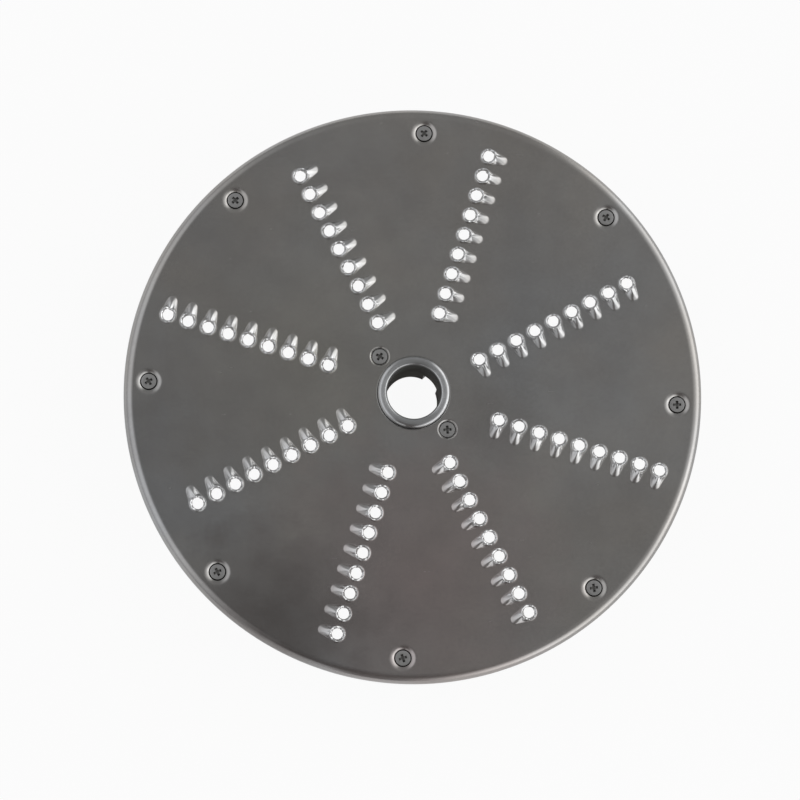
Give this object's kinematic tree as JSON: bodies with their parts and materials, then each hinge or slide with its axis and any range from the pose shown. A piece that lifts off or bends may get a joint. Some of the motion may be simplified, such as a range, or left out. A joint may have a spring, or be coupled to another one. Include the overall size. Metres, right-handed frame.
{
  "type": "vegetable cutter disc",
  "caption": "Round grating disc for a countertop vegetable cutter: a pressed steel plate with rows of raised teeth, screwed to an aluminium carrier with a bored, slotted hub.",
  "frame": {"origin": "on the axis of the bore, at the rear end of the hub, where the disc rests", "axes": "+Z along the bore from the rear end of the hub to the face with the teeth; +X and +Y lie in the plane of the disc"},
  "size_m": [0.205, 0.205, 0.033],
  "materials": {
    "steel_sheet": "dull rolled stainless steel",
    "cast_aluminium": "cast, with a turned collar and bore",
    "screw_steel": "satin"
  },
  "bodies": {
    "root": {"grating_plate": "steel_sheet", "carrier": "cast_aluminium", "rim_screws": "screw_steel", "hub_screws": "screw_steel"}
  },
  "joints": []
}
